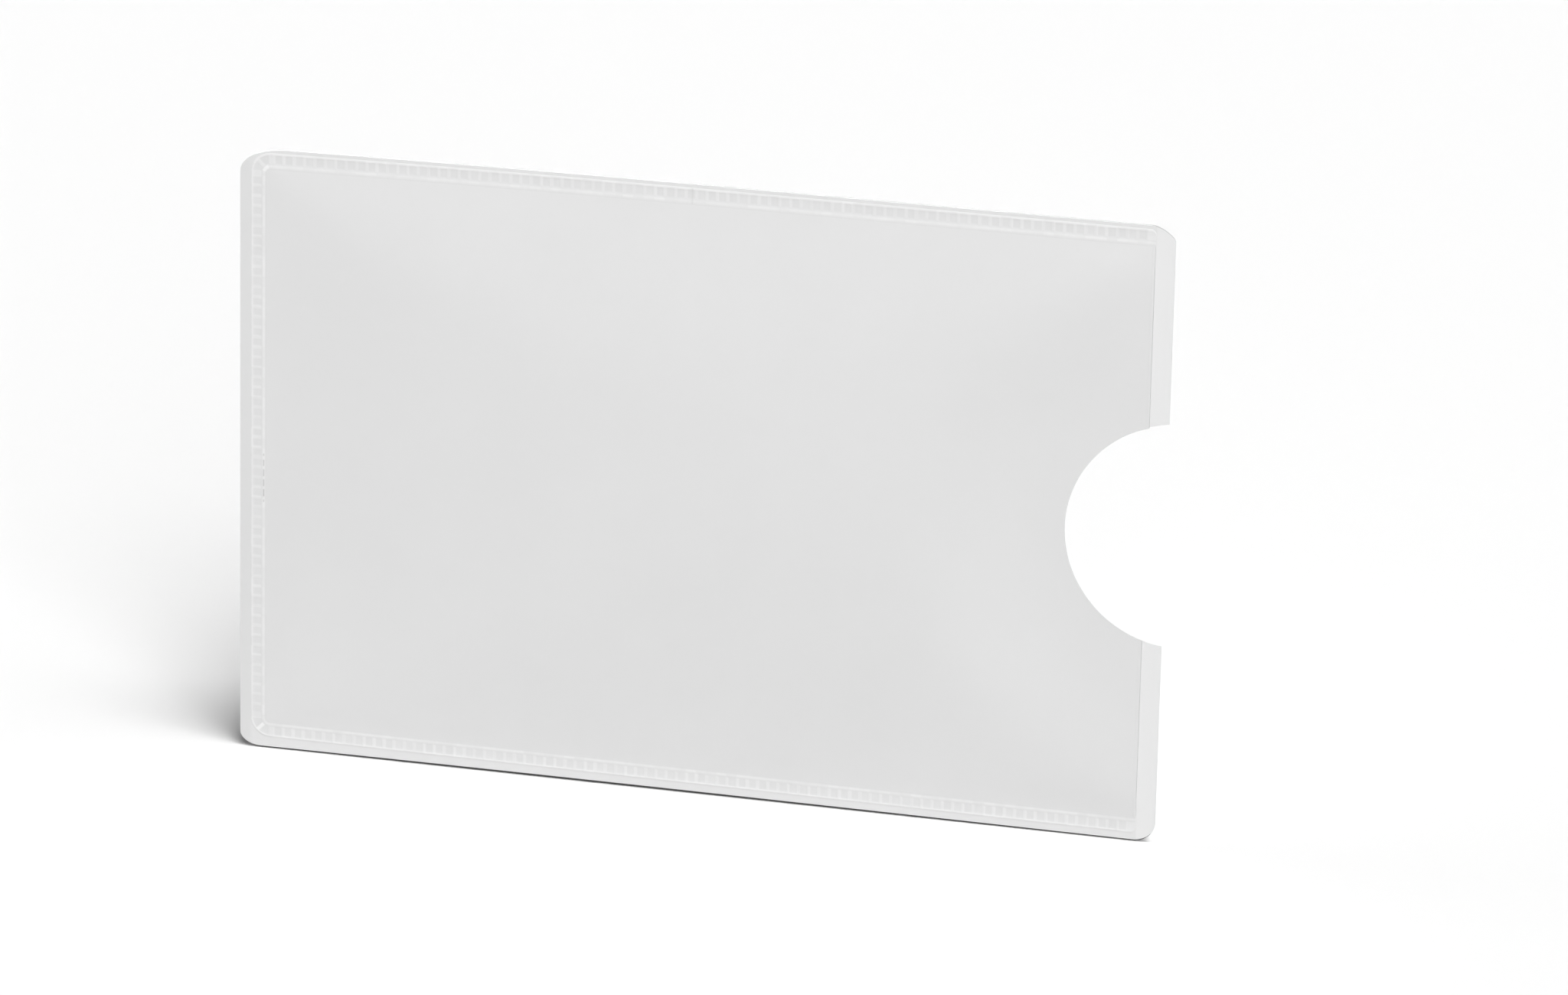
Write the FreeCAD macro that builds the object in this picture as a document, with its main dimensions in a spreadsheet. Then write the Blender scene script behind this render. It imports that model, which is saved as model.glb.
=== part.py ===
import FreeCAD, Part
import math
import os

import Sketcher

# Sleeve for one standard card, with radio shielding. It stands on a long edge: +X runs along the
# length to the open mouth, the front faces -Y, +Z is up. The origin is under the middle of the sleeve.
# A flat rear sheet carries a smaller front panel. A ladder weld closes the border on three sides,
# and a shoulder inside it lifts the panel clear of the card. Each side holds a shield foil and a liner.
# All sizes are in millimetres.
SIZES = {
    # rear sheet: the full outline
    "sleeve_length": 90.0,
    "sleeve_height": 60.0,
    "sleeve_corner_radius": 2.2,
    "rear_film": 0.25,
    # films of the front panel and of both shields
    "front_film": 0.18,
    "shield_foil": 0.03,
    "liner_film": 0.03,
    "shield_setback": 0.4,
    # the card that the pocket takes
    "card_thickness": 0.76,
    "card_clearance": 0.08,
    # where the welded border lies on the rear sheet
    "left_margin": 1.3,
    "top_margin": 0.35,
    "bottom_margin": 1.15,
    "lip_depth": 1.7,
    # welded border: a thin fused band, then the shoulder up to the front panel
    "weld_width": 1.3,
    "weld_height": 0.3,
    "weld_end_radius": 0.5,
    "shoulder_run": 0.2,
    "shoulder_wall": 0.15,
    "shoulder_round": 0.1,
    "pocket_corner_radius": 0.3,
    # ladder pressed into the band
    "cell_pitch": 1.0,
    "cell_depth": 0.12,
    "rib_width": 0.32,
    "outer_line": 0.2,
    "inner_line": 0.25,
    # thumb notch through every layer at the mouth
    "notch_radius": 10.65,
    "notch_outset": 1.0,
}
CORNER_CELLS = 2
EDGE_TOLERANCE_SHARE = 0.001


class Length:
    """A size with its value and the sheet expression that drives it."""

    def __init__(self, value, text):
        self.value = value
        self.text = text

    def __add__(self, other):
        return Length(self.value + other.value, f"({self.text} + {other.text})")

    def __sub__(self, other):
        return Length(self.value - other.value, f"({self.text} - {other.text})")

    def __mul__(self, factor):
        return Length(self.value * factor, f"({self.text} * {factor})")

    def __truediv__(self, divisor):
        return Length(self.value / divisor, f"({self.text} / {divisor})")


doc = FreeCAD.newDocument("card_sleeve")
sheet = doc.addObject("Spreadsheet::Sheet", "Sizes")
for row, (alias, number) in enumerate(SIZES.items(), start=1):
    sheet.set(f"A{row}", alias)
    sheet.set(f"B{row}", str(number))
    sheet.setAlias(f"B{row}", alias)
doc.recompute()
size = {alias: Length(sheet.get(alias), f"Sizes.{alias}") for alias in SIZES}
ZERO = Length(0.0, "0")

# Depths, counted forward from the rear face
rear_stack = size["rear_film"] + size["shield_foil"] + size["liner_film"]
pocket_gap = size["card_thickness"] + size["card_clearance"]
front_liner_depth = rear_stack + pocket_gap
front_foil_depth = front_liner_depth + size["liner_film"]
front_film_depth = front_foil_depth + size["shield_foil"]
thickness = front_film_depth + size["front_film"]
seam_height = thickness - size["rear_film"]

# Welded border, counted from the lower left corner of the rear sheet
shoulder_foot = size["shoulder_run"] + size["shoulder_wall"]
border_width = size["weld_width"] + shoulder_foot
cell_width = size["weld_width"] - size["outer_line"] - size["inner_line"]
border_radius = size["pocket_corner_radius"] + border_width
border_top = size["sleeve_height"] - size["top_margin"]
border_bottom = size["bottom_margin"]
border_left = size["left_margin"]
front_mouth = size["sleeve_length"] - size["lip_depth"]

# Pocket outline: the inner wall of the shoulder, which is also the front panel's outline
pocket_left = border_left + border_width
pocket_top = border_top - border_width
pocket_bottom = border_bottom + border_width
pocket_height = pocket_top - pocket_bottom
pocket_length = front_mouth - pocket_left

# Thumb notch: a circle centred just outside the mouth, halfway up the pocket
notch_x = size["sleeve_length"] + size["notch_outset"]
notch_z = pocket_bottom + pocket_height / 2


def bind(target, path, length):
    """Tie one property of an object to its sizes in the sheet."""
    target.setExpression(path, length.text)


def new_body(label, depth):
    """Start a sub-part whose back lies at a depth in front of the sleeve's rear face."""
    body = doc.addObject("PartDesign::Body", label)
    body.Label = label
    bind(body, "Placement.Base.x", ZERO - size["sleeve_length"] / 2)
    bind(body, "Placement.Base.y", thickness / 2 - depth)
    return body


def new_sketch(body, name, role="XZ_Plane", offset=(ZERO, ZERO, ZERO)):
    """Attach a sketch to an origin plane of its body, moved by three lengths along its own axes."""
    sketch = body.newObject("Sketcher::SketchObject", name)
    plane = next(feature for feature in body.Origin.OriginFeatures if feature.Role == role)
    sketch.AttachmentSupport = [(plane, "")]
    sketch.MapMode = "FlatFace"
    for axis, length in zip("xyz", offset):
        bind(sketch, f"AttachmentOffset.Base.{axis}", length)
    return sketch


def dimension(sketch, kind, places, length):
    """Add a driving dimension to a sketch and tie it to the sheet."""
    index = sketch.addConstraint(Sketcher.Constraint(kind, *places, length.value))
    bind(sketch, f"Constraints[{index}]", length)


def draw_polygon(sketch, points):
    """Draw a closed chain of lines through points given as pairs of lengths."""
    corners = [FreeCAD.Vector(u.value, v.value, 0) for u, v in points]
    count = len(corners)
    for i in range(count):
        sketch.addGeometry(Part.LineSegment(corners[i], corners[(i + 1) % count]))
    for i in range(count):
        sketch.addConstraint(Sketcher.Constraint("Coincident", i, 2, (i + 1) % count, 1))


def draw_rectangle(sketch, width, height):
    """Draw a rectangle with one corner at the sketch's origin and tie its two sides."""
    draw_polygon(sketch, [(ZERO, ZERO), (width, ZERO), (width, height), (ZERO, height)])
    sketch.addConstraint([
        Sketcher.Constraint("Horizontal", 0),
        Sketcher.Constraint("Vertical", 1),
        Sketcher.Constraint("Horizontal", 2),
        Sketcher.Constraint("Vertical", 3),
        Sketcher.Constraint("Coincident", 0, 1, -1, 1),
    ])
    dimension(sketch, "DistanceX", (0, 1, 0, 2), width)
    dimension(sketch, "DistanceY", (1, 1, 1, 2), height)


def pad(body, name, sketch, length):
    """Raise a sketch towards the front."""
    feature = body.newObject("PartDesign::Pad", name)
    feature.Profile = sketch
    bind(feature, "Length", length)
    doc.recompute()
    return feature


def pocket(body, name, sketch, length=None):
    """Cut a sketch backwards to a depth, or through the whole body if none is given."""
    before = body.Shape.Volume
    feature = body.newObject("PartDesign::Pocket", name)
    feature.Profile = sketch
    feature.Refine = False
    if length is None:
        feature.Type = "ThroughAll"
    else:
        bind(feature, "Length", length)
    doc.recompute()
    if body.Shape.Volume >= before:
        raise RuntimeError(f"{name} of {body.Label} cuts nothing")
    return feature


def fillet(body, name, radius, chosen):
    """Round every edge of the body's last feature for which chosen(edge) holds."""
    base = body.Tip
    edges = [f"Edge{i}" for i, edge in enumerate(base.Shape.Edges, start=1) if chosen(edge)]
    if not edges:
        raise RuntimeError(f"{name} of {body.Label} finds no edge")
    feature = body.newObject("PartDesign::Fillet", name)
    feature.Base = (base, edges)
    bind(feature, "Radius", radius)
    doc.recompute()
    return feature


def near(first, second):
    """Whether two coordinates are the same place on the sleeve."""
    return abs(first - second) < EDGE_TOLERANCE_SHARE * size["rear_film"].value


def runs_through(edge):
    """Whether an edge runs straight from the back of a layer to its front."""
    start, end = edge.Vertexes[0].Point, edge.Vertexes[-1].Point
    return near(start.x, end.x) and near(start.z, end.z) and not near(start.y, end.y)


def film(label, depth, film_thickness, left, bottom, length, height, radius, all_corners=False):
    """One flat layer: a rounded rectangle with the thumb notch cut out of its mouth edge."""
    body = new_body(label, depth)
    outline = new_sketch(body, f"{label}_outline", offset=(left, bottom, ZERO))
    draw_rectangle(outline, length, height)
    pad(body, f"{label}_pad", outline, film_thickness)

    def corner(edge):
        return runs_through(edge) and (all_corners or near(edge.Vertexes[0].X, left.value))

    fillet(body, f"{label}_corners", radius, corner)
    notch = new_sketch(body, f"{label}_notch_circle", offset=(notch_x, notch_z, film_thickness))
    notch.addGeometry(Part.Circle(FreeCAD.Vector(), FreeCAD.Vector(0, 0, 1), size["notch_radius"].value))
    notch.addConstraint(Sketcher.Constraint("Coincident", 0, 3, -1, 1))
    dimension(notch, "Radius", (0,), size["notch_radius"])
    pocket(body, f"{label}_notch", notch)
    return body


def shield_layer(label, depth, layer_thickness):
    """A foil or liner: the panel's outline, held back from the weld and flush at the mouth."""
    setback = size["shield_setback"]
    return film(label, depth, layer_thickness,
                pocket_left + setback, pocket_bottom + setback,
                pocket_length - setback, pocket_height - setback * 2,
                size["pocket_corner_radius"])


def draw_seam_profile(sketch):
    """Section of the welded border: thin band outside, shoulder inside with an upright inner wall.

    The first axis runs to the rear and the second up; the inner foot is at the sketch's origin.
    """
    front_of_band = ZERO - size["weld_height"]
    front_of_panel = ZERO - seam_height
    draw_polygon(sketch, [
        (ZERO, ZERO), (ZERO, border_width), (front_of_band, border_width),
        (front_of_band, shoulder_foot), (front_of_panel, size["shoulder_wall"]), (front_of_panel, ZERO),
    ])
    sketch.addConstraint([
        Sketcher.Constraint("Coincident", 0, 1, -1, 1),
        Sketcher.Constraint("Vertical", 0),
        Sketcher.Constraint("Horizontal", 1),
        Sketcher.Constraint("Vertical", 2),
        Sketcher.Constraint("Vertical", 4),
        Sketcher.Constraint("Horizontal", 5),
    ])
    dimension(sketch, "DistanceY", (0, 1, 0, 2), border_width)
    dimension(sketch, "DistanceX", (1, 2, 1, 1), size["weld_height"])
    dimension(sketch, "DistanceY", (2, 2, 2, 1), size["weld_width"])
    dimension(sketch, "DistanceY", (4, 2, 4, 1), size["shoulder_wall"])
    dimension(sketch, "DistanceX", (5, 1, 5, 2), seam_height)


def draw_seam_path(sketch):
    """The border's inner wall: in along the top from the mouth, down the left end, out along the bottom.

    The sketch's origin is the pocket's lower left corner.
    """
    radius = size["pocket_corner_radius"]
    right_top = FreeCAD.Vector(pocket_length.value, pocket_height.value, 0)
    top_left = FreeCAD.Vector(radius.value, pocket_height.value, 0)
    left_top = FreeCAD.Vector(0, (pocket_height - radius).value, 0)
    left_bottom = FreeCAD.Vector(0, radius.value, 0)
    bottom_left = FreeCAD.Vector(radius.value, 0, 0)
    right_bottom = FreeCAD.Vector(pocket_length.value, 0, 0)
    upper = Part.Circle(FreeCAD.Vector(radius.value, left_top.y, 0), FreeCAD.Vector(0, 0, 1), radius.value)
    lower = Part.Circle(FreeCAD.Vector(radius.value, radius.value, 0), FreeCAD.Vector(0, 0, 1), radius.value)
    sketch.addGeometry([
        Part.LineSegment(right_top, top_left),
        Part.ArcOfCircle(upper, math.pi / 2, math.pi),
        Part.LineSegment(left_top, left_bottom),
        Part.ArcOfCircle(lower, math.pi, 3 * math.pi / 2),
        Part.LineSegment(bottom_left, right_bottom),
    ])
    sketch.addConstraint([
        Sketcher.Constraint("Tangent", 0, 2, 1, 1),
        Sketcher.Constraint("Tangent", 1, 2, 2, 1),
        Sketcher.Constraint("Tangent", 2, 2, 3, 1),
        Sketcher.Constraint("Tangent", 3, 2, 4, 1),
        Sketcher.Constraint("Horizontal", 0),
        Sketcher.Constraint("Horizontal", 4),
        Sketcher.Constraint("Vertical", 2),
        Sketcher.Constraint("PointOnObject", 2, 2, -2),
        Sketcher.Constraint("PointOnObject", 4, 1, -1),
        Sketcher.Constraint("Vertical", 0, 1, 4, 2),
        Sketcher.Constraint("Equal", 1, 3),
    ])
    dimension(sketch, "DistanceX", (-1, 1, 4, 2), pocket_length)
    dimension(sketch, "DistanceY", (4, 2, 0, 1), pocket_height)
    dimension(sketch, "Radius", (1,), radius)


def cell_row(body, name, start, direction, run):
    """One row of ladder cells along a straight run of the band, centred on the run.

    start is the corner of the run, at the low end and nearest the sketch's origin.
    """
    along_x = direction == "H_Axis"
    pitch = size["cell_pitch"]
    count = Length(math.floor(run.value / pitch.value), f"floor({run.text} / {pitch.text})")
    spare = Length(run.value - count.value * pitch.value, f"({run.text} - {count.text} * {pitch.text})")
    inset = (spare + size["rib_width"]) / 2
    cell_length = pitch - size["rib_width"]
    if along_x:
        place = (start[0] + inset, start[1], size["weld_height"])
    else:
        place = (start[0], start[1] + inset, size["weld_height"])
    cell = new_sketch(body, f"{name}_cell", offset=place)
    draw_rectangle(cell, *((cell_length, cell_width) if along_x else (cell_width, cell_length)))
    cut = pocket(body, f"{name}_cut", cell, size["cell_depth"])
    row_cells = body.newObject("PartDesign::LinearPattern", f"{name}_row")
    row_cells.Originals = [cut]
    row_cells.Refine = False
    row_cells.Direction = (cell, [direction])
    row_cells.Mode = "Spacing"
    bind(row_cells, "Offset", pitch)
    bind(row_cells, "Occurrences", count)
    body.Tip = row_cells
    doc.recompute()


def corner_cells(body, name, centre, first_quarter):
    """Ladder cells that fan round a corner of the band, each an equal share of the quarter turn."""
    inner = size["pocket_corner_radius"] + shoulder_foot + size["inner_line"]
    outer = border_radius - size["outer_line"]
    fan = new_sketch(body, f"{name}_fan", offset=(*centre, size["weld_height"]))
    half_rib = size["rib_width"] / 2
    step = math.pi / 2 / CORNER_CELLS
    for i in range(CORNER_CELLS):
        begin = first_quarter + i * step
        end = begin + step
        draw_fan_cell(fan, inner, outer, half_rib, begin, end)
    pocket(body, f"{name}_cut", fan, size["cell_depth"])


def draw_fan_cell(sketch, inner, outer, half_rib, begin, end):
    """A ring segment between two radii, its straight sides half a rib away from two rays."""
    first = sketch.GeometryCount
    points = []
    for radius in (inner, outer):
        inside = math.asin(half_rib.value / radius.value)
        for angle in (begin + inside, end - inside):
            points.append(FreeCAD.Vector(math.cos(angle), math.sin(angle), 0) * radius.value)
    inner_begin, inner_end, outer_begin, outer_end = points
    arcs = []
    for radius in (inner, outer):
        inside = math.asin(half_rib.value / radius.value)
        circle = Part.Circle(FreeCAD.Vector(), FreeCAD.Vector(0, 0, 1), radius.value)
        arcs.append(Part.ArcOfCircle(circle, begin + inside, end - inside))
    rays = []
    for angle in (begin, end):
        tip = FreeCAD.Vector(math.cos(angle), math.sin(angle), 0) * outer.value
        rays.append(Part.LineSegment(FreeCAD.Vector(), tip))
    sketch.addGeometry([
        arcs[0], Part.LineSegment(inner_end, outer_end), arcs[1], Part.LineSegment(outer_begin, inner_begin),
    ])
    sketch.addGeometry(rays, True)
    inner_arc, end_side, outer_arc, begin_side, begin_ray, end_ray = range(first, first + 6)
    sketch.addConstraint([
        Sketcher.Constraint("Coincident", inner_arc, 3, -1, 1),
        Sketcher.Constraint("Coincident", outer_arc, 3, -1, 1),
        Sketcher.Constraint("Coincident", inner_arc, 2, end_side, 1),
        Sketcher.Constraint("Coincident", end_side, 2, outer_arc, 2),
        Sketcher.Constraint("Coincident", outer_arc, 1, begin_side, 1),
        Sketcher.Constraint("Coincident", begin_side, 2, inner_arc, 1),
        Sketcher.Constraint("Coincident", begin_ray, 1, -1, 1),
        Sketcher.Constraint("Coincident", end_ray, 1, -1, 1),
        Sketcher.Constraint("PointOnObject", begin_ray, 2, outer_arc),
        Sketcher.Constraint("PointOnObject", end_ray, 2, outer_arc),
        Sketcher.Constraint("Parallel", begin_side, begin_ray),
        Sketcher.Constraint("Parallel", end_side, end_ray),
        Sketcher.Constraint("Angle", -1, 1, begin_ray, 1, begin),
        Sketcher.Constraint("Angle", -1, 1, end_ray, 1, end),
    ])
    dimension(sketch, "Radius", (inner_arc,), inner)
    dimension(sketch, "Radius", (outer_arc,), outer)
    dimension(sketch, "Distance", (begin_side, 1, begin_ray), half_rib)
    dimension(sketch, "Distance", (end_side, 1, end_ray), half_rib)


def weld_seam():
    """The fused border on three sides: one section carried round the pocket, then the ladder cells."""
    body = new_body("weld_seam", size["rear_film"])
    path = new_sketch(body, "seam_path", offset=(pocket_left, pocket_bottom, ZERO))
    draw_seam_path(path)
    profile = new_sketch(body, "seam_profile", "YZ_Plane", (ZERO, pocket_top, front_mouth))
    draw_seam_profile(profile)
    seam = body.newObject("PartDesign::AdditivePipe", "seam")
    seam.Profile = profile
    seam.Spine = (path, [])
    doc.recompute()

    shoulder_line = size["shoulder_wall"].value

    def shoulder_edge(edge):
        points = [vertex.Point for vertex in edge.Vertexes]
        return all(near(point.y, -seam_height.value) and on_offset(point, shoulder_line) for point in points)

    def on_offset(point, offset):
        upper = near(point.z, pocket_top.value + offset)
        lower = near(point.z, pocket_bottom.value - offset)
        return upper or lower or near(point.x, pocket_left.value - offset)

    fillet(body, "shoulder_rounding", size["shoulder_round"], shoulder_edge)

    def end_edge(edge):
        point = edge.Vertexes[0].Point
        outermost = near(point.z, border_top.value) or near(point.z, border_bottom.value)
        return runs_through(edge) and near(point.x, front_mouth.value) and outermost

    fillet(body, "weld_ends", size["weld_end_radius"], end_edge)
    turn_left = border_left + border_radius
    turn_bottom = border_bottom + border_radius
    turn_top = border_top - border_radius
    long_run = front_mouth - size["weld_end_radius"] - turn_left
    end_run = turn_top - turn_bottom
    corner_cells(body, "upper_corner", (turn_left, turn_top), math.pi / 2)
    corner_cells(body, "lower_corner", (turn_left, turn_bottom), math.pi)
    cell_row(body, "left", (border_left + size["outer_line"], turn_bottom), "V_Axis", end_run)
    cell_row(body, "top", (turn_left, border_top - size["outer_line"] - cell_width), "H_Axis", long_run)
    cell_row(body, "bottom", (turn_left, border_bottom + size["outer_line"]), "H_Axis", long_run)
    return body


parts = [
    film("rear_sheet", ZERO, size["rear_film"], ZERO, ZERO, size["sleeve_length"],
         size["sleeve_height"], size["sleeve_corner_radius"], all_corners=True),
    shield_layer("rear_shield_foil", size["rear_film"], size["shield_foil"]),
    shield_layer("rear_liner_film", size["rear_film"] + size["shield_foil"], size["liner_film"]),
    shield_layer("front_liner_film", front_liner_depth, size["liner_film"]),
    shield_layer("front_shield_foil", front_foil_depth, size["shield_foil"]),
    film("front_panel", front_film_depth, size["front_film"], pocket_left, pocket_bottom,
         pocket_length, pocket_height, size["pocket_corner_radius"]),
    weld_seam(),
]
doc.recompute()
for item in doc.Objects:
    if "Invalid" in item.State or "Error" in item.State:
        raise RuntimeError(f"{item.Label} failed: {item.State}")
for part in parts:
    if part.Shape.isNull() or not part.Shape.isValid() or len(part.Shape.Solids) != 1:
        raise RuntimeError(f"{part.Label} is not one valid solid")
os.makedirs("parts", exist_ok=True)
for part in parts:
    part.Shape.exportStep(os.path.join("parts", f"{part.Label}.step"))
    print(f"{part.Label}: {part.Shape.Volume:.3f} mm3, {part.Shape.BoundBox}")
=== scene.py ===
"""Shielding card sleeve: the visible films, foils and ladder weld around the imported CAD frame."""

import math

import bpy
import numpy as np
from bpy.props import FloatProperty, FloatVectorProperty, IntProperty, PointerProperty
from mathutils import Matrix, Vector


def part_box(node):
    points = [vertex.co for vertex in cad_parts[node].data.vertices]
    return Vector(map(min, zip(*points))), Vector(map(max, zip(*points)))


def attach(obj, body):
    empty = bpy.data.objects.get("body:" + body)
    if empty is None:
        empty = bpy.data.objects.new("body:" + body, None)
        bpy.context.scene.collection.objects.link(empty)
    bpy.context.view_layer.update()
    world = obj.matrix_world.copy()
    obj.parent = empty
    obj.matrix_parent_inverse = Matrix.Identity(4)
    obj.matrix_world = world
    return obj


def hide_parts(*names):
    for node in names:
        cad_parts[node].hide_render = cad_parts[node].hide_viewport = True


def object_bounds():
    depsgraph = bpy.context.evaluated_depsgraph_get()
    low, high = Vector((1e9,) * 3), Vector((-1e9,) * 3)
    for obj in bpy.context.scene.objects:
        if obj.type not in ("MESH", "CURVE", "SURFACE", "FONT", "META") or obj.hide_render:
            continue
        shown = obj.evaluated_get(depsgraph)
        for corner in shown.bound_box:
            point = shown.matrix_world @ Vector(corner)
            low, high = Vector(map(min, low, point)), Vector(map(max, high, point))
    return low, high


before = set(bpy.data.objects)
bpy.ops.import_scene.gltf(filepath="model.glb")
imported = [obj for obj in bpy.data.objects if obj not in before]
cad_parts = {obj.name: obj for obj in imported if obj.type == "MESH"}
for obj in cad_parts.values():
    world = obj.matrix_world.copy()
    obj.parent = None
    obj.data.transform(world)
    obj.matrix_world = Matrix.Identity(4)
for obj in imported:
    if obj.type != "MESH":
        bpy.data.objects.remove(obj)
CAD_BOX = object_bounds()

bl_info = {
    "name": "Card Sleeve",
    "version": (1, 0, 0),
    "blender": (4, 5, 0),
    "location": "3D View > Sidebar > Card Sleeve",
    "description": "Builds the films, shield foils and ladder weld of a card sleeve, and its studio",
    "category": "Object",
}

BODY = "root"
REAR_SHIELDS = ("rear_shield_foil", "rear_liner_film")
FRONT_SHIELDS = ("front_shield_foil", "front_liner_film")
MM = 0.001
IMAGE_WIDTH = 2048
SENSOR_WIDTH = 36.0
CORNER_STEPS = 13
NOTCH_STEPS = 61
FILM_ROW = 2.0 * MM
FILM_COLUMNS = 46
LEFT_STEPS = MM * np.array([0.0, 0.3, 0.6, 0.9, 1.2, 1.3, 1.4, 1.8])
MOUTH_STEPS = MM * np.array([
    2.2, 1.8, 1.7, 1.6, 1.2, 0.8, 0.4, 0.3, 0.24, 0.19, 0.15, 0.11, 0.08, 0.055, 0.035, 0.02, 0.009, 0.0])
FULL_ROUND = 2.0
SQUARE = (0.0, 0.0, FULL_ROUND)
UP = (0.0, 0.0, 1.0)
TO_MOUTH = (1.0, 0.0, 0.0)
TINY = 1e-15
PLACE_DECIMALS = 7
RIB_STEPS = np.array([-0.5, -0.36, -0.25, -0.20, -0.15, -0.10, 0.0, 0.10, 0.15, 0.20, 0.25, 0.36])
TIP_STEPS = np.array([0.1, 0.25, 0.45, 0.65, 0.8, 0.9, 0.96, 1.0])
TURN_STEPS = 37
CELLS_APART = 100
FAR = 1.0
SEED = 7
SHARP_ANGLE = math.radians(50.0)
FLOOR_HALF = 3.0
FLOOR_GAP = 0.02 * MM
HIP_SHARPNESS = 4.0
WELD_FADE = 3.0 * MM
NOTCH_FADE = 0.5 * MM
BOW_LEAN = 0.5
FILM_IOR = 1.49

# How dark a cut edge is, as painted shade under the rear sheet's foot and at the mouth: where it faces the dark
# side, where it turns away from it, and at least
EDGE_SHADE_TOWARDS, EDGE_SHADE_AWAY, EDGE_SHADE_LEAST = 0.46, 1.5, 0.04

# The weld's trace on the back: the width of a switch, and how clear and how white it is
TRACE_STEP = 0.01 * MM
TRACE_PRESSED, TRACE_WHITE = 0.3, 0.6

# The weld's beads, in widths of their lines: the outer one's middle and half width, and the inner one's
# half width in front and as its trace behind
OUTER_MIDDLE, OUTER_HALF, INNER_HALF, INNER_TRACE = 0.6, 0.9, 0.9, 1.3

# Least and most that chance gives a ladder cell: rib width, depth, how white and how pressed; on top the outer
# bead is whiter by a painted highlight
RIB_LIMITS, DEPTH_LIMITS = (0.85, 1.15), (0.75, 1.25)
TOP_WHITE_AND_HIGHLIGHT, SIDE_WHITE, INNER_WHITE, RIB_WHITE = (0.5, 0.9), (0.2, 0.5), (0.25, 0.65), (0.1, 0.35)
CELL_PRESSED, DASH_PRESSED = (0.02, 0.08), (0.7, 1.0)
# The middle one of these is painted shade: a dark line along the shoulder's top beside the panel
END_WHITE, CREST_SHADE, JOINT_PRESSED = 0.2, 0.08, 0.3

# Half widths of the painted highlight at the corners, the tool's joint and the dark dashes
PAINTED_GLINT_HALF, JOINT_HALF, DASH_HALF = 0.3 * MM, 0.15 * MM, 0.12 * MM

# Lamps: azimuth from the front towards the mouth, elevation and spread in degrees. INCLUDE lights the floor
# alone, EXCLUDE all but the floor
LAMPS = {
    "mouth_light": (65.0, 70.0, 18.0, "INCLUDE"),
    "low_light": (28.0, 27.0, 34.0, "INCLUDE"),
    "side_light": (60.0, 63.0, 24.0, None),
    "top_light": (20.0, 63.0, 24.0, None),
    "corner_light": (30.0, 47.0, 26.0, None),
    "front_light": (-5.0, 4.0, 24.0, "EXCLUDE"),
    "back_light": (200.0, 12.0, 20.0, "EXCLUDE"),
}


def length(name, description, millimetres):
    """A size in the panel, given in millimetres and kept in metres."""
    return FloatProperty(
        name=name, description=description, default=millimetres * MM, min=0.0, precision=6, unit="LENGTH")


def pair(name, description, run, rise):
    """A run along the length and a rise up the height, given in millimetres and kept in metres."""
    return FloatVectorProperty(
        name=name, description=description, default=(run * MM, rise * MM), size=2, min=0.0, precision=6,
        unit="LENGTH")


def angle(name, description, degrees):
    """An angle in the panel, given in degrees and kept in radians."""
    return FloatProperty(name=name, description=description, default=math.radians(degrees), subtype="ANGLE")


def share(name, description, default):
    """A plain factor in the panel."""
    return FloatProperty(
        name=name, description=description, default=default, min=0.0, max=1.0, subtype="FACTOR")


def strength(name, description, default):
    """A lamp's strength in the panel."""
    return FloatProperty(name=name, description=description, default=default, min=0.0)


def colour(name, description, *parts):
    """A linear colour in the panel; one number stands for a grey."""
    return FloatVectorProperty(
        name=name, description=description, default=parts if len(parts) == 3 else parts * 3, min=0.0, max=1.0,
        size=3, subtype="COLOR")


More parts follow.
